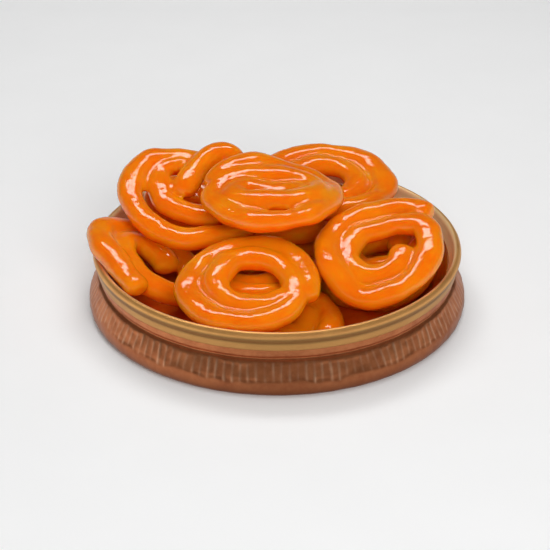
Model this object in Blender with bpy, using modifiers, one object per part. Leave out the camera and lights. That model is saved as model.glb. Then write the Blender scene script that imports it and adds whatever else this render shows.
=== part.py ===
"""Syrup-soaked jalebis heaped in a shallow copper serving bowl with a rolled brass rim.

The bowl is two turned pieces, the brass lining with its rolled rim and the copper
body outside it. Every jalebi is one poured strand: its plan is a smooth curve
through a few knots, and the heap is laid sweet by sweet, each one resting on what
is already in the bowl. Metres, +Z up, base on z = 0, middle of the bowl at x = y = 0.
"""
import math

import bpy
import numpy as np

MM = 0.001
NAME = "jalebi_bowl"
RING_STEPS = 44       # flats round the turned bowl
SWEET_FACES = 470     # triangles kept on one sweet

# ---------------------------------------------------------------- named sizes (mm)
RIM_R = 90.1          # widest part of the rolled rim
RIM_TOP = 32.3        # top of the rim above the base
BELLY_R = 92.7        # widest part of the copper belly
NECK_R = 86.3         # groove under the copper collar
FLOOR_R = 62.0        # flat part of the inside floor
FLOOR_Z = 6.0
SHEET = 1.2           # metal thickness
STRAND_R = 6.2        # half the width of a poured strand
FLAT = 0.78           # its height over its width, in the sweets on top
SEAM = 0.8            # air kept between one sweet and the next
CELL = 1.0            # cell of the height map the heap is laid on
GIVE = 2.5            # how far a sweet settles below its first touch
SWELL = 24.0          # length over which a strand rides up and down again

# inside of the brass lining, floor to rim, and on over the rolled rim
INSIDE = [(0, FLOOR_Z), (FLOOR_R, FLOOR_Z), (70, 8.5), (76, 13.2), (80.5, 19.3), (84, 25.4),
          (85.6, 29.0), (86.3, 31.4), (87.6, RIM_TOP), (89.2, 31.7), (RIM_R, 29.8)]


def coil(inner, outer, turns, start, hand=1, step=50):
    """Knots of a plain two-turn spiral, opening out quickly at first, as it is poured."""
    count = int(round(turns * 360 / step))
    knots = []
    for i in range(count + 1):
        share = i / count
        reach = inner + (outer - inner) * (1 - (1 - share) ** 1.7)
        knots.append((start + hand * step * i, reach))
    return knots


def flatness(sweet):
    """The sweets underneath stand in the syrup and are swollen round."""
    return 1.0 if "low" in sweet["name"] or "mid" in sweet["name"] else FLAT


# One entry per sweet, bottom of the heap first: where its middle lies, how it
# tilts (rise per mm to the right and to the back), how it is bowed (mm at 30 mm
# out: across, along, twisted) and the knots of its strand (degrees, mm out,
# mm of lift where the strand rides over itself).
SWEETS = [
    dict(name="jalebi_left", at=(-58, -10), tilt=(-0.49, -0.04), bow=(1.5, 2.5, 0.7),
         knots=[(20, 4), (80, 10, 1), (120, 16, 2), (150, 17.5, 2), (180, 16.5, 2),
                (215, 16.5, 2), (255, 23), (300, 24), (340, 18), (380, 17), (420, 21),
                (450, 25), (478, 29), (510, 30), (529, 28.5), (555, 26), (582, 25),
                (605, 30), (621, 37)]),
    dict(name="jalebi_low_front", at=(-5, -42), tilt=(0.01, -0.03), bow=(0.5, 1, -0.5),
         knots=[(-70, 5), (-120, 7), (-170, 10), (-220, 12), (-270, 14), (-320, 16),
                (-370, 19), (-420, 22), (-470, 25), (-520, 26), (-570, 25), (-620, 25),
                (-670, 26), (-710, 28), (-735, 31), (-760, 37)]),
    dict(name="jalebi_low_right", at=(47, 0), tilt=(0.17, 0), bow=(4, -2.5, 0.5),
         knots=coil(5, 27, 1.8, 140)),
    dict(name="jalebi_low_back", at=(-2, 40), tilt=(0, 0), bow=(0, 0, 0),
         knots=coil(5, 27, 1.8, 80, -1)),
    dict(name="jalebi_low_left", at=(-46, 43), tilt=(-0.15, 0.30), bow=(0, 0, 0),
         knots=coil(4, 17, 1.5, 30)),
    dict(name="jalebi_mid_front", at=(-9, -20), tilt=(-0.11, -0.08), bow=(1, -4, -4),
         knots=coil(5, 27, 1.8, 150, -1)),
    dict(name="jalebi_mid_right", at=(52, -2), tilt=(0.25, 0.02), bow=(4, -2, 0.5),
         knots=coil(5.5, 25, 1.8, 310)),
    dict(name="jalebi_mid_back", at=(5, 44), tilt=(0.01, -0.01), bow=(1, -0.5, -2.5),
         knots=coil(5, 26, 1.8, 30)),
    dict(name="jalebi_back_right", at=(25, 44), tilt=(0, 0.15), bow=(0, 0, 0),
         knots=[(170, 6), (220, 9), (270, 12), (320, 14), (370, 16), (420, 17), (470, 18),
                (520, 20), (570, 22), (620, 24), (670, 27), (720, 30), (770, 30), (820, 30),
                (870, 32), (920, 32)]),
    dict(name="jalebi_back_left", at=(-42, 20), tilt=(-0.07, 0.27), bow=(2.5, 1.5, 0.5),
         knots=[(95, 27), (123, 27), (140, 22.5), (160, 16.5), (196, 12.5), (258, 8), (324, 15),
                (375, 24), (410, 26), (445, 28.5), (475, 32), (500, 34), (535, 31),
                (575, 28), (620, 28), (655, 29), (685, 32), (725, 32), (757, 31, 4),
                (782, 31, 7), (800, 20, 6), (835, 8, 4), (875, 7, 2)]),
    dict(name="jalebi_front", at=(-12, -50), tilt=(0, 0.18), bow=(-1, 0, 1),
         knots=[(-25, 19), (-70, 16), (-125, 15.5), (-175, 16), (-230, 16.5), (-270, 18),
                (-310, 18.5), (-350, 19), (-385, 22), (-420, 25), (-455, 26), (-490, 28),
                (-525, 29.5), (-555, 29), (-585, 28.5), (-620, 28), (-650, 29), (-680, 28),
                (-710, 26), (-740, 27)]),
    dict(name="jalebi_right", at=(49, -24), tilt=(0.10, 0.29), bow=(3, 0, -2.5), give=5,
         knots=[(0, 11.5), (-60, 13.5), (-115, 16), (-165, 17), (-225, 14.5), (-265, 13.5),
                (-300, 18), (-335, 24), (-380, 24), (-420, 26), (-455, 28), (-480, 28.5),
                (-515, 27), (-555, 25), (-595, 25), (-630, 27), (-655, 32), (-680, 34)]),
    dict(name="jalebi_top", at=(-2, 8.5), tilt=(-0.06, 0), bow=(-0.5, 1, -3.5), give=4.5,
         knots=[(0, 16, 3), (345, 8, 3), (200, 4, 3), (178, 13, 3), (197, 19.5, 3),
                (223, 19, 3), (262, 15.5, 3), (303, 17, 3), (335, 20.5, 3), (360, 21.5, 3),
                (388, 18.5, 3), (428, 13, 3), (484, 14, 3), (510, 20, 2), (531, 26, 1),
                (555, 30), (600, 30), (640, 31), (680, 28), (730, 29), (765, 28), (800, 23),
                (835, 24), (868, 28.5), (892, 31)]),
]


def through(values, where):
    """Smooth curve through evenly numbered values (Catmull-Rom)."""
    v = np.asarray(values, dtype=float)
    last = len(v) - 1
    i = np.clip(np.floor(where).astype(int), 0, last - 1)
    f = where - i
    p1, p2 = v[i], v[i + 1]
    p0 = np.where(i > 0, v[np.maximum(i - 1, 0)], 2 * p1 - p2)
    p3 = np.where(i < last - 1, v[np.minimum(i + 2, last)], 2 * p2 - p1)
    return 0.5 * (2 * p1 + (p2 - p0) * f + (2 * p0 - 5 * p1 + 4 * p2 - p3) * f ** 2
                  + (3 * p1 - p0 - 3 * p2 + p3) * f ** 3)


def strand(sweet, step):
    """Plan of one strand about the sweet's middle: x, y, lift and half width."""
    knots = [(k + (0,))[:3] for k in sweet["knots"]]
    turn = np.radians([k[0] for k in knots])
    out = np.array([k[1] for k in knots], dtype=float)
    where = np.linspace(0, len(knots) - 1, 24 * (len(knots) - 1) + 1)
    x = through(out * np.cos(turn), where)
    y = through(out * np.sin(turn), where)
    lift = through([k[2] for k in knots], where)
    run = np.concatenate([[0], np.cumsum(np.hypot(np.diff(x), np.diff(y)))])
    along = np.linspace(0, run[-1], int(run[-1] / step) + 2)
    x, y, lift = (np.interp(along, run, q) for q in (x, y, lift))
    phase = 0.1 * sweet["at"][0] + 0.07 * sweet["at"][1]
    half = STRAND_R * (1 + 0.05 * np.sin(along / 9 + phase) + 0.04 * np.sin(along / 4.3 + 2 * phase))
    end = np.minimum(along, run[-1] - along)
    near = np.clip(end / (0.9 * STRAND_R), 0, 1)
    half = half * (0.45 + 0.55 * np.sqrt(1 - (1 - near) ** 2))
    return x, y, lift, half


def bowl_heights():
    """Height map of the empty bowl's inside, in cells of CELL mm."""
    side = np.arange(-100, 100 + CELL, CELL)
    gx, gy = np.meshgrid(side, side, indexing="ij")
    out = np.hypot(gx, gy)
    height = np.interp(out, [p[0] for p in INSIDE], [p[1] for p in INSIDE])
    height[out > RIM_R] = -50
    return gx, gy, height


def cells_near(ground, x, y, reach):
    gx, gy, height = ground
    low = [int((c - reach + 100) / CELL) for c in (x, y)]
    high = [int((c + reach + 100) / CELL) + 2 for c in (x, y)]
    part = (slice(max(low[0], 0), high[0]), slice(max(low[1], 0), high[1]))
    away = (gx[part] - x) ** 2 + (gy[part] - y) ** 2
    return height[part], away


def lay(sweet, ground, step=1.5):
    """Rest one sweet on what is below it; its centre line in mm and half width."""
    x, y, lift, half = strand(sweet, step)
    flat = flatness(sweet)
    tilt, bow = sweet["tilt"], sweet["bow"]
    shape = (tilt[0] * x + tilt[1] * y + lift
             + (bow[0] * x * x + bow[1] * y * y + bow[2] * x * y) / 900)
    wx, wy = x + sweet["at"][0], y + sweet["at"][1]
    clear = np.full(len(x), -50.0)
    for i, h in enumerate(half + SEAM):
        height, away = cells_near(ground, wx[i], wy[i], h)
        inside = away < h * h
        if inside.any():
            clear[i] = (height[inside] + flat * np.sqrt(h * h - away[inside])).max()
    z = (clear - shape).max() - sweet.get("give", GIVE) + shape
    # the soft strand rides up a little where it meets something, in an easy swell
    short = np.maximum(clear - z, 0)
    apart = np.abs(np.subtract.outer(np.arange(len(x)), np.arange(len(x)))) * step
    swell = np.cos(np.clip(apart / SWELL, 0, 1) * math.pi / 2) ** 2
    z = z + (short[None, :] * swell).max(axis=1)
    for i, h in enumerate(half):
        height, away = cells_near(ground, wx[i], wy[i], h)
        inside = away < h * h
        height[inside] = np.maximum(height[inside], z[i] + flat * np.sqrt(h * h - away[inside]))
    return wx, wy, z, half


# ---------------------------------------------------------------- the two turned pieces
def lining_profile():
    """Half section of the brass lining, from the floor up, over the rim and back."""
    top = [(0.0001, FLOOR_Z)] + INSIDE[1:]
    under = [(89.3, 27.8), (88.5, 26.6), (88.4, 22.8), (87.7, 22.8), (87.7, 26.8),
             (86.9, 27.5), (86.2, 26.9), (85.2, 24.9), (81.6, 18.6), (77.0, 12.3),
             (70.5, 7.3), (FLOOR_R, FLOOR_Z - SHEET), (0.0001, FLOOR_Z - SHEET)]
    return top + under


def body_profile():
    """Half section of the copper body: collar, groove, belly and flat base, a thin shell."""
    outside = [(86.9, 26.3), (87.3, 26.1), (87.3, 19.4), (86.9, 18.6), (NECK_R, 17.9),
               (86.6, 17.1), (88.2, 16.6), (90.3, 12.6), (92.1, 8.9), (BELLY_R, 6.0),
               (92.6, 3.0), (91.4, 1.0), (89.0, 0.0), (0.0001, 0.0)]
    inside = [(0.0001, SHEET), (88.8, SHEET), (91.2, 3.2), (91.1, 7.2), (86.8, 15.7),
              (85.2, 17.0), (85.3, 18.2), (86.1, 19.8)]
    return outside + inside


def turned(name, profile, colour, metallic, rough):
    """Turn a closed half section about Z."""
    mesh = bpy.data.meshes.new(name)
    count = len(profile)
    points = [(r * MM, 0.0, z * MM) for r, z in profile]
    mesh.from_pydata(points, [(i, (i + 1) % count) for i in range(count)], [])
    mesh.update()
    ob = bpy.data.objects.new(name, mesh)
    screw = ob.modifiers.new("Turn", "SCREW")
    screw.axis = "Z"
    screw.steps = screw.render_steps = RING_STEPS
    screw.use_merge_vertices = True
    screw.merge_threshold = 0.0001
    screw.use_normal_calculate = True
    ob.data.materials.append(material(name, colour, metallic, rough))
    return ob


def material(name, colour, metallic, rough):
    mat = bpy.data.materials.new(name)
    mat.use_nodes = True
    shader = mat.node_tree.nodes["Principled BSDF"]
    shader.inputs["Base Color"].default_value = (*colour, 1.0)
    shader.inputs["Metallic"].default_value = metallic
    shader.inputs["Roughness"].default_value = rough
    return mat


# ---------------------------------------------------------------- the sweets
def poured(sweet, line):
    """One strand as a bevelled curve, pressed flat, its touching turns grown together."""
    x, y, z, half = line
    flat = flatness(sweet)
    curve = bpy.data.curves.new(sweet["name"], "CURVE")
    curve.dimensions = "3D"
    curve.bevel_depth = MM
    curve.bevel_resolution = 2
    curve.use_fill_caps = True
    spline = curve.splines.new("POLY")
    spline.points.add(len(x) - 1)
    for point, px, py, pz, h in zip(spline.points, x, y, z, half):
        point.co = (px * MM, py * MM, pz / flat * MM, 1.0)
        point.radius = h * 1.03
    ob = bpy.data.objects.new(sweet["name"], curve)
    ob.scale = (1.0, 1.0, flat)
    grow = ob.modifiers.new("Grown together", "REMESH")
    grow.mode = "VOXEL"
    grow.voxel_size = 1.3 * MM
    curve.materials.append(material(sweet["name"], (0.90, 0.21, 0.01), 0.0, 0.15))
    return ob


def thin_out(ob):
    """Keep about SWEET_FACES triangles, whatever the strand's length."""
    bpy.context.view_layer.update()
    shape = ob.evaluated_get(bpy.context.evaluated_depsgraph_get())
    mesh = shape.to_mesh()
    mesh.calc_loop_triangles()
    faces = len(mesh.loop_triangles)
    shape.to_mesh_clear()
    thin = ob.modifiers.new("Thin", "DECIMATE")
    thin.ratio = SWEET_FACES / faces


def build():
    for ob in list(bpy.data.objects):
        bpy.data.objects.remove(ob)
    home = bpy.data.collections.new(NAME)
    bpy.context.scene.collection.children.link(home)
    home.objects.link(turned("bowl_lining", lining_profile(), (0.72, 0.50, 0.24), 1.0, 0.3))
    home.objects.link(turned("bowl_body", body_profile(), (0.62, 0.32, 0.19), 1.0, 0.35))
    ground = bowl_heights()
    for sweet in SWEETS:
        ob = poured(sweet, lay(sweet, ground))
        home.objects.link(ob)
        thin_out(ob)


build()
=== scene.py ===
"""Looks of a bowl of jalebi: syrup-soaked coils heaped in a hammered copper bowl with a
brass lining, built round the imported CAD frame.

Lengths in the tables and names below are millimetres, unless they say otherwise; every
object is made in metres. The table of sweets and the way they are laid in the bowl are those
of the part's own source, so each fine strand lies where its solid does.
"""
import math

import bpy
import numpy as np
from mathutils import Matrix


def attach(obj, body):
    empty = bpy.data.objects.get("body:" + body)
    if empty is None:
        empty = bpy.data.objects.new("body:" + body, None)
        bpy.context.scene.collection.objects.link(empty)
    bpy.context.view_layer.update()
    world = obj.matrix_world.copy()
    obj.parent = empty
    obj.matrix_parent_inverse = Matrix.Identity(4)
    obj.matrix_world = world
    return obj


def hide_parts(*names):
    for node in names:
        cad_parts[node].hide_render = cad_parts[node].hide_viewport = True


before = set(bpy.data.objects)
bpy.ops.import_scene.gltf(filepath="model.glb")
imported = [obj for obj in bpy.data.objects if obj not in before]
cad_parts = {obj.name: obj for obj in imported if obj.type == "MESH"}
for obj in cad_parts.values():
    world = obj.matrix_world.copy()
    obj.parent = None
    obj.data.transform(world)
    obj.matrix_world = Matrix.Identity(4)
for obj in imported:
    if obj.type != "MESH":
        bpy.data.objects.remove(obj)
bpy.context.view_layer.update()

MM = 0.001

# ---------------------------------------------------------------- sizes shared with the CAD
RIM_R = 90.1          # widest part of the rolled rim
RIM_TOP = 32.3        # top of the rim above the base
BELLY_R = 92.7        # widest part of the copper belly
NECK_R = 86.3         # groove under the copper collar
FLOOR_R = 62.0        # flat part of the inside floor
FLOOR_Z = 6.0         # its height above the base
SHEET = 1.2           # metal thickness
AXIS_R = 0.0001       # radius given to points on the bowl's axis
STRAND_R = 6.2        # half the width of a poured strand
FLAT = 0.78           # its height over its width, in the sweets on top
# a strand is thicker and thinner in waves: share of its half width, scale, phases along
THICKENS = ((0.05, 9, 1), (0.04, 4.3, 2))
# shares of the half width: how far from an end a strand narrows, and what is left there
TAPER = (0.9, 0.45)
OPENS = 1.7           # power by which a plain spiral opens out; 1 is even
PER_KNOT = 24         # points of a smooth curve between two knots
SEAM = 0.8            # air kept between one sweet and the next
GIVE = 2.5            # how far a sweet settles below its first touch
SWELL = 24.0          # length over which a strand rides up and down again
STEP = 1.5            # distance between the points of a strand's line
BOW_AT = 30           # distance from a sweet's middle at which its bow is given
CELL = 1.0            # cell of the height map the heap is laid on
MAP_REACH = 100       # how far the height map goes out from the middle
NO_GROUND = -50       # height where there is nothing to rest on

# inside of the brass lining, floor to rim, and on over the rolled rim
INSIDE = [(0, FLOOR_Z), (FLOOR_R, FLOOR_Z), (70, 8.5), (76, 13.2), (80.5, 19.3), (84, 25.4),
          (85.6, 29.0), (86.3, 31.4), (87.6, RIM_TOP), (89.2, 31.7), (RIM_R, 29.8)]


def coil(inner, outer, turns, start, hand=1, step=50):
    """Knots of a plain spiral, step degrees apart, opening out quickly at first, as it is
    poured."""
    count = int(round(turns * 360 / step))
    knots = []
    for i in range(count + 1):
        share = i / count
        reach = inner + (outer - inner) * (1 - (1 - share) ** OPENS)
        knots.append((start + hand * step * i, reach))
    return knots


def flatness(sweet):
    """The sweets underneath stand in the syrup and are swollen round."""
    return 1.0 if "low" in sweet["name"] or "mid" in sweet["name"] else FLAT


# One entry per sweet, bottom of the heap first: where its middle lies, how it
# tilts (rise per mm to the right and to the back), how it is bowed (mm at BOW_AT
# out: across, along, twisted), how far it gives if that isn't GIVE, and the knots
# of its strand (degrees, mm out, mm of lift where the strand rides over itself).
SWEETS = [
    dict(name="jalebi_left", at=(-58, -10), tilt=(-0.49, -0.04), bow=(1.5, 2.5, 0.7),
         knots=[(20, 4), (80, 10, 1), (120, 16, 2), (150, 17.5, 2), (180, 16.5, 2),
                (215, 16.5, 2), (255, 23), (300, 24), (340, 18), (380, 17), (420, 21),
                (450, 25), (478, 29), (510, 30), (529, 28.5), (555, 26), (582, 25),
                (605, 30), (621, 37)]),
    dict(name="jalebi_low_front", at=(-5, -42), tilt=(0.01, -0.03), bow=(0.5, 1, -0.5),
         knots=[(-70, 5), (-120, 7), (-170, 10), (-220, 12), (-270, 14), (-320, 16),
                (-370, 19), (-420, 22), (-470, 25), (-520, 26), (-570, 25), (-620, 25),
                (-670, 26), (-710, 28), (-735, 31), (-760, 37)]),
    dict(name="jalebi_low_right", at=(47, 0), tilt=(0.17, 0), bow=(4, -2.5, 0.5),
         knots=coil(5, 27, 1.8, 140)),
    dict(name="jalebi_low_back", at=(-2, 40), tilt=(0, 0), bow=(0, 0, 0),
         knots=coil(5, 27, 1.8, 80, -1)),
    dict(name="jalebi_low_left", at=(-46, 43), tilt=(-0.15, 0.30), bow=(0, 0, 0),
         knots=coil(4, 17, 1.5, 30)),
    dict(name="jalebi_mid_front", at=(-9, -20), tilt=(-0.11, -0.08), bow=(1, -4, -4),
         knots=coil(5, 27, 1.8, 150, -1)),
    dict(name="jalebi_mid_right", at=(52, -2), tilt=(0.25, 0.02), bow=(4, -2, 0.5),
         knots=coil(5.5, 25, 1.8, 310)),
    dict(name="jalebi_mid_back", at=(5, 44), tilt=(0.01, -0.01), bow=(1, -0.5, -2.5),
         knots=coil(5, 26, 1.8, 30)),
    dict(name="jalebi_back_right", at=(25, 44), tilt=(0, 0.15), bow=(0, 0, 0),
         knots=[(170, 6), (220, 9), (270, 12), (320, 14), (370, 16), (420, 17), (470, 18),
                (520, 20), (570, 22), (620, 24), (670, 27), (720, 30), (770, 30), (820, 30),
                (870, 32), (920, 32)]),
    dict(name="jalebi_back_left", at=(-42, 20), tilt=(-0.07, 0.27), bow=(2.5, 1.5, 0.5),
         knots=[(95, 27), (123, 27), (140, 22.5), (160, 16.5), (196, 12.5), (258, 8), (324, 15),
                (375, 24), (410, 26), (445, 28.5), (475, 32), (500, 34), (535, 31),
                (575, 28), (620, 28), (655, 29), (685, 32), (725, 32), (757, 31, 4),
                (782, 31, 7), (800, 20, 6), (835, 8, 4), (875, 7, 2)]),
    dict(name="jalebi_front", at=(-12, -50), tilt=(0, 0.18), bow=(-1, 0, 1),
         knots=[(-25, 19), (-70, 16), (-125, 15.5), (-175, 16), (-230, 16.5), (-270, 18),
                (-310, 18.5), (-350, 19), (-385, 22), (-420, 25), (-455, 26), (-490, 28),
                (-525, 29.5), (-555, 29), (-585, 28.5), (-620, 28), (-650, 29), (-680, 28),
                (-710, 26), (-740, 27)]),
    dict(name="jalebi_right", at=(49, -24), tilt=(0.10, 0.29), bow=(3, 0, -2.5), give=5,
         knots=[(0, 11.5), (-60, 13.5), (-115, 16), (-165, 17), (-225, 14.5), (-265, 13.5),
                (-300, 18), (-335, 24), (-380, 24), (-420, 26), (-455, 28), (-480, 28.5),
                (-515, 27), (-555, 25), (-595, 25), (-630, 27), (-655, 32), (-680, 34)]),
    dict(name="jalebi_top", at=(-2, 8.5), tilt=(-0.06, 0), bow=(-0.5, 1, -3.5), give=4.5,
         knots=[(0, 16, 3), (345, 8, 3), (200, 4, 3), (178, 13, 3), (197, 19.5, 3),
                (223, 19, 3), (262, 15.5, 3), (303, 17, 3), (335, 20.5, 3), (360, 21.5, 3),
                (388, 18.5, 3), (428, 13, 3), (484, 14, 3), (510, 20, 2), (531, 26, 1),
                (555, 30), (600, 30), (640, 31), (680, 28), (730, 29), (765, 28), (800, 23),
                (835, 24), (868, 28.5), (892, 31)]),
]


def through(values, where):
    """Smooth curve through evenly numbered values (Catmull-Rom)."""
    v = np.asarray(values, dtype=float)
    last = len(v) - 1
    i = np.clip(np.floor(where).astype(int), 0, last - 1)
    f = where - i
    p1, p2 = v[i], v[i + 1]
    p0 = np.where(i > 0, v[np.maximum(i - 1, 0)], 2 * p1 - p2)
    p3 = np.where(i < last - 1, v[np.minimum(i + 2, last)], 2 * p2 - p1)
    return 0.5 * (2 * p1 + (p2 - p0) * f + (2 * p0 - 5 * p1 + 4 * p2 - p3) * f ** 2
                  + (3 * p1 - p0 - 3 * p2 + p3) * f ** 3)


def strand(sweet):
    """Plan of one strand about the sweet's middle: x, y, lift and half width."""
    knots = [(k + (0,))[:3] for k in sweet["knots"]]
    turn = np.radians([k[0] for k in knots])
    out = np.array([k[1] for k in knots], dtype=float)
    where = np.linspace(0, len(knots) - 1, PER_KNOT * (len(knots) - 1) + 1)
    x = through(out * np.cos(turn), where)
    y = through(out * np.sin(turn), where)
    lift = through([k[2] for k in knots], where)
    run = np.concatenate([[0], np.cumsum(np.hypot(np.diff(x), np.diff(y)))])
    along = np.linspace(0, run[-1], int(run[-1] / STEP) + 2)
    x, y, lift = (np.interp(along, run, q) for q in (x, y, lift))
    # a little thicker and thinner along its length, and rounded off at its ends
    phase = 0.1 * sweet["at"][0] + 0.07 * sweet["at"][1]
    half = STRAND_R * sum((share * np.sin(along / scale + phases * phase)
                           for share, scale, phases in THICKENS), 1)
    end = np.minimum(along, run[-1] - along)
    near = np.clip(end / (TAPER[0] * STRAND_R), 0, 1)
    half = half * (TAPER[1] + (1 - TAPER[1]) * np.sqrt(1 - (1 - near) ** 2))
    return x, y, lift, half


def bowl_heights():
    """Height map of the empty bowl's inside, in cells of CELL mm."""
    side = np.arange(-MAP_REACH, MAP_REACH + CELL, CELL)
    gx, gy = np.meshgrid(side, side, indexing="ij")
    out = np.hypot(gx, gy)
    height = np.interp(out, [p[0] for p in INSIDE], [p[1] for p in INSIDE])
    height[out > RIM_R] = NO_GROUND
    return gx, gy, height


def cells_near(ground, x, y, reach):
    """The cells in a square round a point, and their squared distance from it."""
    gx, gy, height = ground
    low = [int((c - reach + MAP_REACH) / CELL) for c in (x, y)]
    high = [int((c + reach + MAP_REACH) / CELL) + 2 for c in (x, y)]
    part = (slice(max(low[0], 0), high[0]), slice(max(low[1], 0), high[1]))
    away = (gx[part] - x) ** 2 + (gy[part] - y) ** 2
    return height[part], away


def lay(sweet, ground):
    """Rest one sweet on what is below it; its centre line in mm and half width."""
    x, y, lift, half = strand(sweet)
    flat = flatness(sweet)
    tilt, bow = sweet["tilt"], sweet["bow"]
    shape = (tilt[0] * x + tilt[1] * y + lift
             + (bow[0] * x * x + bow[1] * y * y + bow[2] * x * y) / BOW_AT ** 2)
    wx, wy = x + sweet["at"][0], y + sweet["at"][1]
    clear = np.full(len(x), float(NO_GROUND))
    for i, h in enumerate(half + SEAM):
        height, away = cells_near(ground, wx[i], wy[i], h)
        inside = away < h * h
        if inside.any():
            clear[i] = (height[inside] + flat * np.sqrt(h * h - away[inside])).max()
    z = (clear - shape).max() - sweet.get("give", GIVE) + shape
    # the soft strand rides up a little where it meets something, in an easy swell
    short = np.maximum(clear - z, 0)
    apart = np.abs(np.subtract.outer(np.arange(len(x)), np.arange(len(x)))) * STEP
    swell = np.cos(np.clip(apart / SWELL, 0, 1) * math.pi / 2) ** 2
    z = z + (short[None, :] * swell).max(axis=1)
    for i, h in enumerate(half):
        height, away = cells_near(ground, wx[i], wy[i], h)
        inside = away < h * h
        height[inside] = np.maximum(height[inside],
                                    z[i] + flat * np.sqrt(h * h - away[inside]))
    return wx, wy, z, half


def lining_profile():
    """Half section of the brass lining, from the floor up, over the rim and back."""
    top = [(AXIS_R, FLOOR_Z)] + INSIDE[1:]
    under = [(89.3, 27.8), (88.5, 26.6), (88.4, 22.8), (87.7, 22.8), (87.7, 26.8),
             (86.9, 27.5), (86.2, 26.9), (85.2, 24.9), (81.6, 18.6), (77.0, 12.3),
             (70.5, 7.3), (FLOOR_R, FLOOR_Z - SHEET), (AXIS_R, FLOOR_Z - SHEET)]
    return top + under


def body_profile():
    """Half section of the copper body: collar, groove, belly and flat base, a thin shell."""
    outside = [(86.9, 26.3), (87.3, 26.1), (87.3, 19.4), (86.9, 18.6), (NECK_R, 17.9),
               (86.6, 17.1), (88.2, 16.6), (90.3, 12.6), (92.1, 8.9), (BELLY_R, 6.0),
               (92.6, 3.0), (91.4, 1.0), (89.0, 0.0), (AXIS_R, 0.0)]
    inside = [(AXIS_R, SHEET), (88.8, SHEET), (91.2, 3.2), (91.1, 7.2), (86.8, 15.7),
              (85.2, 17.0), (85.3, 18.2), (86.1, 19.8)]
    return outside + inside


# ---------------------------------------------------------------- helpers
WAVES = 18            # plane waves in one noise


def waves(points, length, seed):
    """Smooth seeded noise of about unit size: plane waves of one length, in all directions."""
    draw = np.random.default_rng(seed)
    way = draw.normal(size=(WAVES, 3))
    way *= (2 * math.pi / length * draw.uniform(0.75, 1.3, WAVES)
            / np.linalg.norm(way, axis=1))[:, None]
    turn = draw.uniform(0, 2 * math.pi, WAVES)
    total = np.zeros(len(points))
    for w, t in zip(way, turn):
        total += np.cos(points @ w + t)
    return total * math.sqrt(2 / WAVES)


def layered(points, layers, seed):
    """Several such noises added up; layers are (size, length) pairs."""
    return sum(size * waves(points, length, seed + i)
               for i, (size, length) in enumerate(layers))


def ease(low, high, value):
    """0 below low, 1 above high, smooth between."""
    t = np.clip((value - low) / (high - low), 0, 1)
    return t * t * (3 - 2 * t)


def circle(steps):
    """Evenly spaced angles, once round."""
    return np.linspace(0, 2 * math.pi, steps, endpoint=False)


def add_mesh(name, points_mm, faces, smooth=True):
    mesh = bpy.data.meshes.new(name)
    mesh.from_pydata((np.asarray(points_mm) * MM).tolist(), [], faces)
    mesh.validate()
    if smooth:
        mesh.shade_smooth()
    ob = bpy.data.objects.new(name, mesh)
    bpy.context.scene.collection.objects.link(ob)
    return ob


def settled(ob):
    """The object with its modifiers turned into plain mesh."""
    bpy.context.view_layer.update()
    shape = ob.evaluated_get(bpy.context.evaluated_depsgraph_get())
    mesh = bpy.data.meshes.new_from_object(shape)
    mesh.name = ob.name
    old = ob.data
    ob.modifiers.clear()
    ob.data = mesh
    bpy.data.meshes.remove(old)
    return mesh


def vectors(layer, key):
    """One vector for each item of a mesh layer, as rows."""
    flat = np.empty(len(layer) * 3, dtype=np.float32)
    layer.foreach_get(key, flat)
    return flat.reshape(-1, 3).astype(float)


# ---------------------------------------------------------------- the sweets
SIDES = 28            # corners round a strand before its turns grow together
SQUARE = 0.92         # power that squares a strand's section a little; 1 is round
PLUMP = 1.03          # strands swell a little with syrup
LUMPS = ((0.024, 15), (0.008, 7))     # share of the half width, length
CROWN = 0.7           # how far the first turn of a sweet stands above the rest
CROWN_ENDS = (330, 450)     # degrees of turn over which it comes down to the rest
FILLED = ("jalebi_top",)    # sweets whose middle is filled by the start of the strand
SUNK = 1.8            # how far that start lies lower
SUNK_ENDS = (2.0, 3.5)      # knots between which it comes up to the rest
FINE = 0.62           # voxel of the sweets that show
COARSE = 1.00         # voxel of those mostly hidden
WEB = 0.9             # half the widest gap between turns that syrup and batter close
MELT = 12             # rounds of smoothing
MELTED = dict(jalebi_top=55)          # rounds where the turns have run together
WRINKLES = ((0.025, 6), (0.014, 2.8), (0.012, 1.7))     # height, length


def tube(path, half, flat, seed):
    """Points and faces of one strand: rings square to the path, lumpy, closed at the ends."""
    ahead = np.gradient(path, axis=0)
    ahead /= np.linalg.norm(ahead, axis=1)[:, None]
    side = np.cross(ahead, (0, 0, 1.0))
    side /= np.linalg.norm(side, axis=1)[:, None]
    up = np.cross(side, ahead)
    angle = circle(SIDES)
    across = np.sign(np.cos(angle)) * np.abs(np.cos(angle)) ** SQUARE
    above = np.sign(np.sin(angle)) * np.abs(np.sin(angle)) ** SQUARE
    ring = side[:, None, :] * across[None, :, None] + up[:, None, :] * above[None, :, None]
    ring *= (1, 1, flat)
    points = (path[:, None, :] + ring * half[:, None, None]).reshape(-1, 3)
    lumps = layered(points, LUMPS, seed)
    points += ring.reshape(-1, 3) * (lumps * np.repeat(half, SIDES))[:, None]
    rings = len(path)
    faces = []
    for i in range(rings - 1):
        a, b = i * SIDES, (i + 1) * SIDES
        for j in range(SIDES):
            k = (j + 1) % SIDES
            faces.append((a + j, a + k, b + k, b + j))
    faces.append(tuple(range(SIDES - 1, -1, -1)))
    faces.append(tuple(range((rings - 1) * SIDES, rings * SIDES)))
    return points, faces


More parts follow.
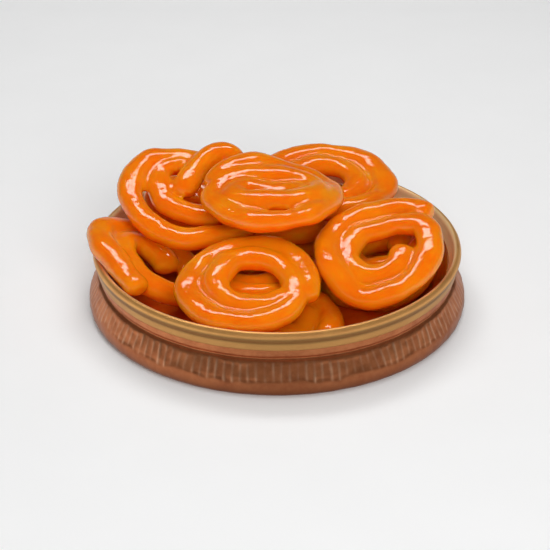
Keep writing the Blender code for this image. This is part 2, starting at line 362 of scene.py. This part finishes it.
def raised(sweet, path, where):
    """Raise the first turn of a sweet's line a little, and sink its start where it fills the
    middle."""
    knots = sweet["knots"]
    share = where / where[-1]
    turned = abs(np.interp(share, np.linspace(0, 1, len(knots)),
                           [k[0] - knots[0][0] for k in knots]))
    path[:, 2] += CROWN * (1 - ease(*CROWN_ENDS, turned))
    if sweet["name"] in FILLED:
        path[:, 2] -= SUNK * (1 - ease(*SUNK_ENDS, share * (len(knots) - 1)))


def grown(sweet, line, voxel, seed):
    """One sweet: its strand as a tube, touching turns grown together, then wrinkled."""
    x, y, z, half = line
    where = np.linspace(0, len(x) - 1, 3 * (len(x) - 1) + 1)
    path = np.stack([through(q, where) for q in (x, y, z)], axis=1)
    flat = flatness(sweet)
    if flat < 1:
        raised(sweet, path, where)
    points, faces = tube(path, through(half, where) * PLUMP, flat, seed)
    ob = add_mesh(sweet["name"] + "_fine", points, faces)

    def remeshed(name):
        even = ob.modifiers.new(name, "REMESH")
        even.mode = "VOXEL"
        even.voxel_size = voxel * MM

    # swell, join and shrink back: narrow gaps between turns close, grooves fill softly
    for offset in (WEB, -WEB):
        remeshed("Grown together")
        swell = ob.modifiers.new("Swell", "DISPLACE")
        swell.mid_level = 0
        swell.strength = offset * MM
    remeshed("Even")
    melt = ob.modifiers.new("Melted", "SMOOTH")
    melt.factor = 0.5
    melt.iterations = MELTED.get(sweet["name"], MELT)
    mesh = settled(ob)
    place = vectors(mesh.vertices, "co") / MM
    out = vectors(mesh.vertex_normals, "vector")
    place += out * layered(place, WRINKLES, seed + len(LUMPS))[:, None]
    mesh.vertices.foreach_set("co", (place * MM).astype(np.float32).ravel())
    mesh.update()
    mesh.shade_smooth()
    return ob


# ---------------------------------------------------------------- the bowl
LINING_AROUND = 256   # steps round the brass
LINING_GAP = 2.5      # distance between the points of its section
FLUTES = 150          # upright strokes chased round the belly
AROUND = 7 * FLUTES   # steps round the copper
BODY_GAP = 0.85       # distance between the points of its section outside
BODY_BACK_GAP = 17.0  # and on the hidden inside
NEAR_AXIS = 1         # a point nearer than this lies on the bowl's axis
BAND = (8.4, 16.0)    # lower and upper end of the strokes above the base
SINK = 0.30           # depth of the band between the strokes
SINK_VARIES = 0.10    # and how much it varies round the bowl
CLEAR = 0.06          # dents start this far in, so that they stay inside the CAD outline


def finer(profile, gap, back_gap):
    """A closed half section with points at most gap apart, and back_gap on the hidden side,
    past the middle of the base."""
    out = []
    hidden = False
    for (r0, z0), (r1, z1) in zip(profile, profile[1:] + profile[:1]):
        length = math.hypot(r1 - r0, z1 - z0)
        parts = max(1, int(math.ceil(length / (back_gap if hidden else gap))))
        if min(r0, r1) < NEAR_AXIS:
            parts = 1     # the flat of the base or the floor, out from the axis
        out += [(r0 + (r1 - r0) * i / parts, z0 + (z1 - z0) * i / parts) for i in range(parts)]
        hidden = hidden or r1 < NEAR_AXIS
    return out


def rounded(profile, cuts):
    """Corner cutting (Chaikin) of a closed half section, its axis points kept."""
    for _ in range(cuts):
        new = []
        count = len(profile)
        for i, (r, z) in enumerate(profile):
            if r < NEAR_AXIS:
                new.append((r, z))
                continue
            for other in (profile[i - 1], profile[(i + 1) % count]):
                if other[0] < NEAR_AXIS:
                    new.append((r, z))
                else:
                    new.append((r + (other[0] - r) * 0.25, z + (other[1] - z) * 0.25))
        profile = [p for i, p in enumerate(new) if i == 0 or p != new[i - 1]]
    return profile


def spun(name, profile, steps, shape=None):
    """A closed half section turned about Z; shape(angle, r, z) gives a new r, and how far each
    point is worn and painted bright as a highlight, kept with the mesh."""
    rows = len(profile)
    r, z = (np.array(column) for column in zip(*profile))
    rr, aa = np.meshgrid(r, circle(steps), indexing="ij")
    zz = np.repeat(z[:, None], steps, axis=1)
    worn_and_highlit = np.zeros_like(rr)
    if shape is not None:
        rr, worn_and_highlit = shape(aa, rr, zz)
    ring = np.stack([rr * np.cos(aa), rr * np.sin(aa), zz], axis=2)
    points, rubbed_and_highlit, numbers = [], [], []
    for i in range(rows):
        if r[i] < NEAR_AXIS:
            numbers.append([len(points)] * steps)
            points.append((0.0, 0.0, float(z[i])))
            rubbed_and_highlit.append(0.0)
        else:
            numbers.append(range(len(points), len(points) + steps))
            points += ring[i].tolist()
            rubbed_and_highlit += worn_and_highlit[i].tolist()
    faces = []
    for i in range(rows):
        n = (i + 1) % rows
        if max(r[i], r[n]) < NEAR_AXIS:
            continue
        a, b = numbers[i], numbers[n]
        for j in range(steps):
            k = (j + 1) % steps
            # two corners on the axis are one point
            faces.append(tuple(dict.fromkeys((a[j], b[j], b[k], a[k]))))
    ob = add_mesh(name, points, faces)
    ob.data.attributes.new("rubbed_and_highlit", "FLOAT", "POINT").data.foreach_set("value", rubbed_and_highlit)
    return ob


def hammered(angle, r, z):
    """A sunk band round the belly with upright strokes left standing in it, of uneven length,
    slant and relief, and shallow dents all over. Gives the new r, and how far each point is worn
    and painted bright as a highlight."""
    outer = ease(84.5, 86, r)     # nothing moves nearer the axis, in the flat of the base
    place = np.stack([r * np.cos(angle), r * np.sin(angle), z], axis=2).reshape(-1, 3)

    def uneven(length, seed, squash=1.0):
        return waves(place * (1, 1, squash), length, seed).reshape(r.shape)

    upright = 0.05        # squash of a noise that hardly changes with height
    slant = 0.45 * uneven(17, 8, upright)
    stray = 0.3 * uneven(9, 11, upright)
    phase = FLUTES * angle + stray + slant * (z - 12.5) / 3
    relief = (0.75 + 0.25 * uneven(8, 12)).clip(0.2, 1.2)
    stroke = np.exp(-(np.sin(phase / 2) / 0.42) ** 2) * relief
    low = BAND[0] + 0.5 * uneven(12, 13, upright)
    high = BAND[1] + 0.4 * uneven(12, 14, upright)
    band = ease(low - 0.8, low + 0.8, z) * (1 - ease(high - 0.7, high + 0.7, z))
    sunk = SINK + SINK_VARIES * np.tanh(uneven(26, 7))
    dents = (0.06 * uneven(7, 9)).clip(-0.05, 0.14)
    # how far each point is worn and painted bright: a painted highlight on the strokes
    rubbed_and_highlit = outer * band * stroke * (sunk / (SINK + SINK_VARIES))
    return r - outer * (sunk * band * (1 - stroke) + CLEAR + dents), rubbed_and_highlit


SYRUP_Z = 9.6         # level of the syrup the low sweets stand in
FILM_Z = 16           # height on the wall up to which it has left a thick film
FILM = (0.05, 0.55)   # the thin film above that, and how much thicker it is below
OFF_WALL = 0.12       # air between the syrup's underside and the lining


def syrup_pool():
    """Thin syrup: a pool on the floor, and a film it has left on the wall above."""
    angle = circle(160)
    r = np.concatenate([np.linspace(0, 60, 13), np.linspace(FLOOR_R, 84, 34)])
    rr, aa = np.meshgrid(r, angle, indexing="ij")
    x, y = rr * np.cos(aa), rr * np.sin(aa)
    wall = np.interp(rr, [p[0] for p in INSIDE], [p[1] for p in INSIDE]) + OFF_WALL
    place = np.stack([x, y, 0 * rr], axis=2).reshape(-1, 3)
    reach = (FILM_Z + 5 * waves(place, 38, 61) + 2 * waves(place, 13, 62)).reshape(rr.shape)
    film = FILM[0] + FILM[1] * (1 - ease(reach - 2.5, reach + 0.5, wall))
    level = SYRUP_Z + 0.12 * waves(place, 16, 63).reshape(rr.shape)
    top = np.maximum(level, wall + film)
    # rings of the top, then of the underside, then one point in the middle of each
    points = [np.stack([x, y, height], axis=2)[1:].reshape(-1, 3) for height in (top, wall)]
    points.append([(0, 0, top[0].mean()), (0, 0, wall[0].mean())])
    steps = len(angle)
    under = (len(r) - 1) * steps     # first point of the underside
    last = under - steps             # first point of the outermost ring
    faces = []
    for j in range(steps):
        k = (j + 1) % steps
        for i in range(0, last, steps):
            a, b, c, d = i + j, i + steps + j, i + steps + k, i + k
            faces.append((a, b, c, d))
            faces.append((under + d, under + c, under + b, under + a))
        faces.append((j, k, 2 * under))
        faces.append((under + k, under + j, 2 * under + 1))
        faces.append((last + j, under + last + j, under + last + k, last + k))
    return add_mesh("syrup_pool", np.concatenate(points), faces)


# ---------------------------------------------------------------- materials
def set_stops(node, stops):
    """Fill a colour ramp from (place, colour or grey) pairs."""
    elements = node.color_ramp.elements
    while len(elements) < len(stops):
        elements.new(0.5)
    for element, (at, tone) in zip(elements, stops):
        element.position = at
        element.color = (*tone, 1.0) if isinstance(tone, tuple) else (tone, tone, tone, 1.0)


class Nodes:
    """Short hand for a material's node tree."""

    def __init__(self, name):
        self.mat = bpy.data.materials.new(name)
        self.mat.use_nodes = True
        self.tree = self.mat.node_tree
        self.shader = self.tree.nodes["Principled BSDF"]
        coords = self.new("TexCoord")
        self.place, self.normal = coords.outputs["Object"], coords.outputs["Normal"]

    def new(self, kind, **inputs):
        """A node with its inputs set or linked; spaces in their names are written _."""
        node = self.tree.nodes.new("ShaderNode" + kind)
        for name, value in inputs.items():
            self.put(node.inputs[name.replace("_", " ")], value)
        return node

    def put(self, socket, value):
        if isinstance(value, bpy.types.NodeSocket):
            self.tree.links.new(value, socket)
        else:
            socket.default_value = value

    def set(self, **inputs):
        """Set or link inputs of the shader itself."""
        for name, value in inputs.items():
            self.put(self.shader.inputs[name.replace("_", " ")], value)

    def noise(self, size_mm, detail, rough=0.5, stretch=None, shift=0.0):
        """Noise of about size_mm, as a 0 to 1 value."""
        return self.new("TexNoise", Scale=1 / (size_mm * MM), Detail=detail, Roughness=rough,
                        Vector=self.moved(stretch, shift)).outputs["Fac"]

    def hollows(self, size_mm, stretch):
        """Rounded hollows of about size_mm, side by side."""
        node = self.new("TexVoronoi")
        node.feature = "SMOOTH_F1"
        self.put(node.inputs["Scale"], 1 / (size_mm * MM))
        self.put(node.inputs["Vector"], self.moved(stretch))
        return node.outputs["Distance"]

    def moved(self, stretch=None, shift=0.0):
        """The place in the object, stretched and moved away from other textures."""
        if stretch is None and not shift:
            return self.place
        return self.new("Mapping", Scale=stretch or (1, 1, 1), Vector=self.place,
                        Location=(shift, shift * 0.7, shift * 1.3)).outputs["Vector"]

    def ramp(self, value, stops):
        """stops: (place, colour or grey) pairs."""
        node = self.new("ValToRGB", Fac=value)
        set_stops(node, stops)
        return node.outputs["Color"]

    def mix(self, share, a, b):
        """Colour a, and share of colour b over it."""
        node = self.new("Mix")
        node.data_type = "RGBA"
        self.put(node.inputs["Factor"], share)
        self.put(node.inputs["A"], a)
        self.put(node.inputs["B"], (*b, 1.0))
        return node.outputs["Result"]

    def span(self, value, low, high):
        """0 where the value is low, 1 where it is high."""
        return self.new("MapRange", From_Min=low, From_Max=high, Value=value).outputs["Result"]

    def height(self, low_mm, high_mm):
        """0 at one height above the base, 1 at another."""
        z = self.new("SeparateXYZ", Vector=self.place).outputs["Z"]
        return self.span(z, low_mm * MM, high_mm * MM)

    def upright(self, low, high):
        """0 where the surface's normal rises by low, 1 where it rises by high."""
        return self.span(self.new("SeparateXYZ", Vector=self.normal).outputs["Z"], low, high)

    def radius(self, low_mm, high_mm):
        """0 at one distance from the bowl's axis, 1 at another."""
        level = self.new("VectorMath")
        level.operation = "MULTIPLY"
        self.put(level.inputs[0], self.place)
        self.put(level.inputs[1], (1, 1, 0))
        away = self.new("VectorMath")
        away.operation = "LENGTH"
        self.put(away.inputs[0], level.outputs["Vector"])
        return self.span(away.outputs["Value"], low_mm * MM, high_mm * MM)

    def times(self, a, b):
        node = self.new("Math")
        node.operation = "MULTIPLY"
        self.put(node.inputs[0], a)
        self.put(node.inputs[1], b)
        return node.outputs["Value"]

    def bump(self, height, depth_mm, under=None):
        """A normal for the shader; under is the bump that this one lies on."""
        node = self.new("Bump", Distance=depth_mm * MM, Height=height)
        if under is not None:
            self.put(node.inputs["Normal"], under)
        return node.outputs["Normal"]


def syrup_batter():
    """Fried batter full of syrup: saturated orange, light inside it, a wet skin."""
    n = Nodes("Syrup soaked batter")
    dark, even, light = (0.85, 0.148, 0.002), (0.90, 0.182, 0.002), (0.94, 0.245, 0.003)
    body = n.ramp(n.noise(22, detail=2.0), [(0.30, dark), (0.50, even), (0.72, light)])
    mottle = n.noise(4.5, detail=4.0, rough=0.6, shift=0.31)
    body = n.mix(n.ramp(mottle, [(0.45, 0.0), (0.75, 0.18)]), body, (0.96, 0.27, 0.005))
    # painted light and shade: the sides are painted more yellow, as light coming through them,
    # and what faces down is painted deep orange, as shade
    turn = n.upright(0.8, -0.6)
    sides = n.ramp(turn, [(0.0, 0.0), (0.45, 0.6), (0.75, 0.0)])
    body = n.mix(sides, body, (0.98, 0.285, 0.004))
    # painted shade: deep orange where the surface faces down
    painted_shade_under = n.ramp(turn, [(0.55, 0.0), (0.95, 0.8)])
    body = n.mix(painted_shade_under, body, (0.92, 0.105, 0.001))
    skin = n.noise(1.6, detail=3.0, rough=0.55, shift=0.17)
    wet = n.noise(1.3, detail=3.0, rough=0.6, shift=0.53)
    n.set(Base_Color=body, Subsurface_Weight=0.9, Subsurface_Radius=(0.0110, 0.0030, 0.0005),
          Subsurface_Scale=1.0, Roughness=0.5, IOR=1.45, Specular_IOR_Level=0.0,
          Coat_Weight=1.0, Coat_Roughness=0.035, Coat_IOR=1.62,
          Normal=n.bump(skin, 0.06), Coat_Normal=n.bump(wet, 0.05))
    return n.mat


def syrup():
    """Clear sugar syrup, coloured by the batter."""
    n = Nodes("Syrup")
    cloud = n.noise(9, detail=3.0)
    n.set(Base_Color=n.ramp(cloud, [(0.35, (0.46, 0.050, 0.002)), (0.65, (0.60, 0.085, 0.003))]),
          Subsurface_Weight=0.6, Subsurface_Radius=(0.004, 0.001, 0.0002),
          Subsurface_Scale=1.0, Roughness=0.3, Specular_IOR_Level=0.1, Coat_Weight=1.0,
          Coat_Roughness=0.03, Coat_IOR=1.5, Coat_Normal=n.bump(n.noise(5, detail=2.0), 0.06))
    return n.mat


def brass():
    """Polished brass, a little brushed round the bowl and tarnished in patches."""
    n = Nodes("Brass")
    tarnish = n.noise(14, detail=4.0, rough=0.6)
    tone = n.ramp(tarnish, [(0.30, (0.88, 0.41, 0.125)), (0.70, (0.98, 0.51, 0.155))])
    # painted shade: a dark olive band round the outer side of the roll, below its crest where it
    # turns down, and about half as much on the skirt below
    outside = n.radius(87.0, 88.0)
    painted_shade_band = n.ramp(n.height(22, 34), [(0.30, 0.45), (0.40, 0.95), (0.60, 0.9), (0.70, 0.0)])
    tone = n.mix(n.times(painted_shade_band, outside), tone, (0.36, 0.19, 0.060))
    # painted reflection: the inside is painted paler, standing in for the bright surroundings it
    # mirrors, and it is less metallic
    tone = n.mix(n.ramp(outside, [(0.0, 0.7), (1.0, 0.0)]), tone, (0.96, 0.79, 0.44))
    brushed = n.noise(1.2, detail=3.0, stretch=(0.06, 0.06, 1.0))
    n.set(Base_Color=tone, Metallic=n.ramp(outside, [(0.0, 0.45), (1.0, 0.72)]),
          Roughness=n.ramp(brushed, [(0.3, 0.32), (0.7, 0.44)]), Normal=n.bump(brushed, 0.015))
    return n.mat


def copper():
    """Hammered copper: shallow dents, darker patina in patches."""
    n = Nodes("Hammered copper")
    patina = n.noise(11, detail=5.0, rough=0.62)
    fine = n.noise(2.0, detail=3.0, shift=0.4)
    tone = n.ramp(patina, [(0.30, (0.54, 0.162, 0.060)), (0.70, (0.72, 0.250, 0.095))])
    tone = n.mix(n.ramp(fine, [(0.4, 0.0), (0.8, 0.4)]), tone, (0.82, 0.325, 0.135))
    # painted shade: darker towards the foot, where it mirrors the shaded floor
    tone = n.mix(n.ramp(n.height(0, 12), [(0.0, 1.0), (1.0, 0.0)]), tone, (0.24, 0.070, 0.028))
    # painted highlight and wear: the strokes left standing are worn, and painted bright as the
    # highlight on their ridges
    worn_and_highlit = n.new("Attribute")
    worn_and_highlit.attribute_name = "rubbed_and_highlit"
    bright = n.ramp(worn_and_highlit.outputs["Fac"], [(0.0, 0.0), (1.0, 0.8)])
    tone = n.mix(bright, tone, (0.95, 0.55, 0.33))
    dents = n.bump(n.hollows(4.2, stretch=(1, 1, 0.7)), 0.22)
    n.set(Base_Color=tone, Metallic=0.85, Roughness=n.ramp(patina, [(0.3, 0.42), (0.7, 0.32)]),
          Normal=n.bump(n.noise(0.8, detail=2.0), 0.02, under=dents))
    return n.mat


def pale_floor():
    """Almost white and matt, with hardly any change in it."""
    n = Nodes("Floor")
    light = 0.975
    n.set(Base_Color=n.ramp(n.noise(40, detail=2.0), [(0.3, light), (0.7, light * 0.985)]),
          Roughness=0.9)
    return n.mat


# ---------------------------------------------------------------- stage
LOOKING_DOWN = math.radians(29)
LENS = 119.2                      # focal length on a 36 mm wide sensor
AWAY = 0.900                      # metres from camera to aim
AIM = (-0.001, 0.0, 0.0130)       # what the camera looks at, metres
HEART = (0, 0, 0.03)              # what the lamps look at, metres
FLOOR_REACH = 6000                # half the side of the floor


def camera():
    data = bpy.data.cameras.new("Camera")
    data.sensor_width = 36.0
    data.lens = LENS
    data.clip_start, data.clip_end = 0.05, 50
    cam = bpy.data.objects.new("Camera", data)
    bpy.context.scene.collection.objects.link(cam)
    cam.location = (AIM[0], AIM[1] - AWAY * math.cos(LOOKING_DOWN),
                    AIM[2] + AWAY * math.sin(LOOKING_DOWN))
    cam.rotation_euler = (math.pi / 2 - LOOKING_DOWN, 0, 0)
    bpy.context.scene.camera = cam


def softbox(name, place, size, level, shows=True):
    """level is the brightness of a white card that faces the lamp at HEART; a lamp that
    doesn't show lights things without a reflection of its own."""
    data = bpy.data.lights.new(name, "AREA")
    data.shape = "RECTANGLE"
    data.size, data.size_y = size
    lamp = bpy.data.objects.new(name, data)
    bpy.context.scene.collection.objects.link(lamp)
    lamp.location = place
    to = np.array(HEART, float) - np.array(place, float)
    data.energy = math.pi ** 2 * level * float(to @ to)
    flat = math.hypot(to[0], to[1])
    lamp.rotation_euler = (math.atan2(flat, -to[2]), 0, math.atan2(to[1], to[0]) - math.pi / 2)
    lamp.visible_glossy = shows


def sky():
    """A dim studio: bright low down for the metal to mirror, brighter to the sides."""
    world = bpy.data.worlds.new("Studio")
    bpy.context.scene.world = world
    world.use_nodes = True
    tree = world.node_tree

    def node(kind, **inputs):
        made = tree.nodes.new("ShaderNode" + kind)
        for name, value in inputs.items():
            made.inputs[name.replace("_", " ")].default_value = value
        return made

    way = node("SeparateXYZ")
    tree.links.new(node("TexCoord").outputs["Generated"], way.inputs[0])
    height = node("MapRange", From_Min=-1.0, From_Max=1.0)
    tree.links.new(way.outputs["Z"], height.inputs["Value"])
    level = node("ValToRGB")
    set_stops(level, [(0.0, 0.30), (0.30, 0.44), (0.50, 0.38), (0.62, 0.09), (0.75, 0.02)])
    tree.links.new(height.outputs["Result"], level.inputs["Fac"])
    # 2.1 times as bright at the far left and 1.4 times at the far right
    sides = node("MapRange", From_Min=-1.0, From_Max=1.0, To_Min=2.1, To_Max=1.4)
    tree.links.new(way.outputs["X"], sides.inputs["Value"])
    far = node("Math")
    far.operation = "ABSOLUTE"
    tree.links.new(way.outputs["X"], far.inputs[0])
    share = node("Mix", A=1.0)
    share.data_type = "FLOAT"
    tree.links.new(far.outputs[0], share.inputs["Factor"])
    tree.links.new(sides.outputs["Result"], share.inputs["B"])
    total = node("VectorMath")
    total.operation = "SCALE"
    tree.links.new(level.outputs["Color"], total.inputs[0])
    tree.links.new(share.outputs["Result"], total.inputs["Scale"])
    tree.links.new(total.outputs["Vector"], tree.nodes["Background"].inputs["Color"])


def stage():
    corners = [(-1, -1, 0), (1, -1, 0), (1, 1, 0), (-1, 1, 0)]
    floor = add_mesh("floor", np.array(corners) * FLOOR_REACH, [(0, 1, 2, 3)], smooth=False)
    floor.data.materials.append(pale_floor())
    floor.visible_glossy = False
    sky()
    softbox("Window", (-0.05, 0.42, 0.84), (0.58, 0.19), 0.25)
    softbox("Ceiling", (0.0, 0.0, 1.6), (1.8, 1.8), 0.55, shows=False)
    softbox("Front", (0.25, -1.3, 0.75), (1.0, 0.8), 0.67, shows=False)
    bpy.context.scene.view_settings.view_transform = "Standard"


# ---------------------------------------------------------------- put together
SHOWN = ("jalebi_top", "jalebi_front", "jalebi_right", "jalebi_left", "jalebi_back_left",
         "jalebi_back_right", "jalebi_low_front")


def build():
    batter, yellow, red = syrup_batter(), brass(), copper()
    ground = bowl_heights()
    for number, sweet in enumerate(SWEETS):
        line = lay(sweet, ground)
        voxel = FINE if sweet["name"] in SHOWN else COARSE
        ob = grown(sweet, line, voxel, seed=100 + 17 * number)
        ob.data.materials.append(batter)
        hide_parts(sweet["name"])
        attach(ob, "root")
    section = finer(rounded(lining_profile(), cuts=2), LINING_GAP, LINING_GAP)
    lining = spun("lining_fine", section, LINING_AROUND)
    lining.data.materials.append(yellow)
    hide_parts("bowl_lining")
    section = finer(rounded(body_profile(), cuts=1), BODY_GAP, BODY_BACK_GAP)
    body = spun("body_fine", section, AROUND, hammered)
    body.data.materials.append(red)
    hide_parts("bowl_body")
    pool = syrup_pool()
    pool.data.materials.append(syrup())
    for ob in (lining, body, pool):
        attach(ob, "root")


camera()
stage()
build()
